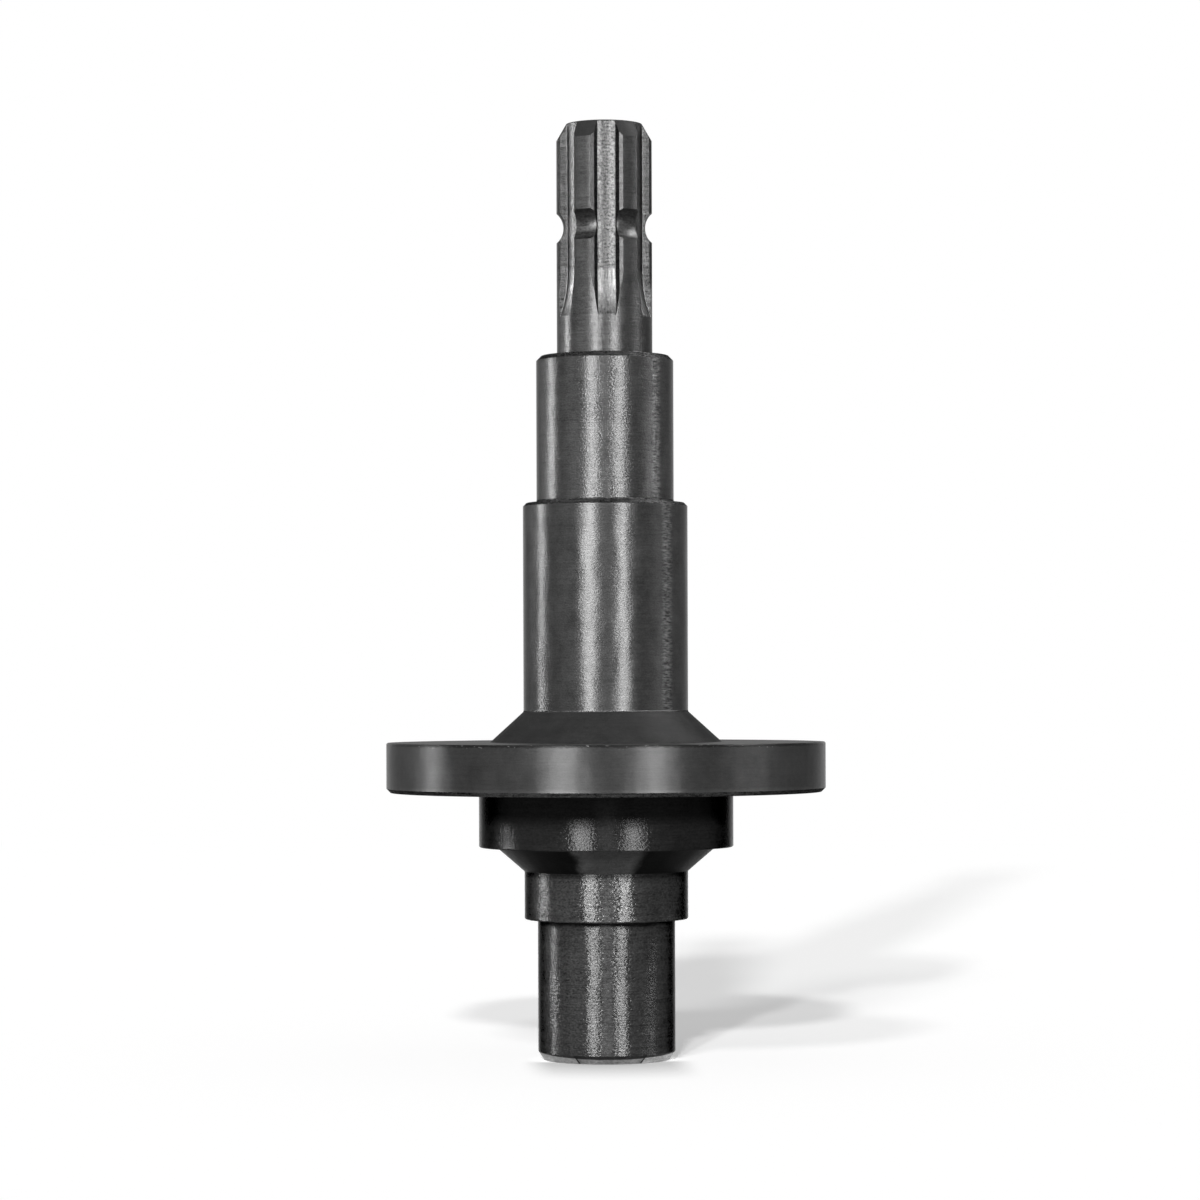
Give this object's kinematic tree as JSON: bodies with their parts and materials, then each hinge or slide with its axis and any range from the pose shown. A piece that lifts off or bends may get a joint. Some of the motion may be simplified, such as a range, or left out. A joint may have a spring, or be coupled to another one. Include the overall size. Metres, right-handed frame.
{
  "type": "flanged splined shaft",
  "caption": "Stepped steel drive shaft with a thick round flange, a centring boss under it, bearing journals at both ends and a straight-sided spline with a locking groove.",
  "frame": {"origin": "centre of the lower end face, on which the shaft stands", "axes": "+Z along the shaft's axis, up to the splined end; -Y is the front, where the middle of a spline valley faces"},
  "size_m": [0.16, 0.16, 0.3403],
  "materials": {
    "turned_steel": "dark satin, turned"
  },
  "bodies": {
    "root": {"shaft": "turned_steel"}
  },
  "joints": []
}
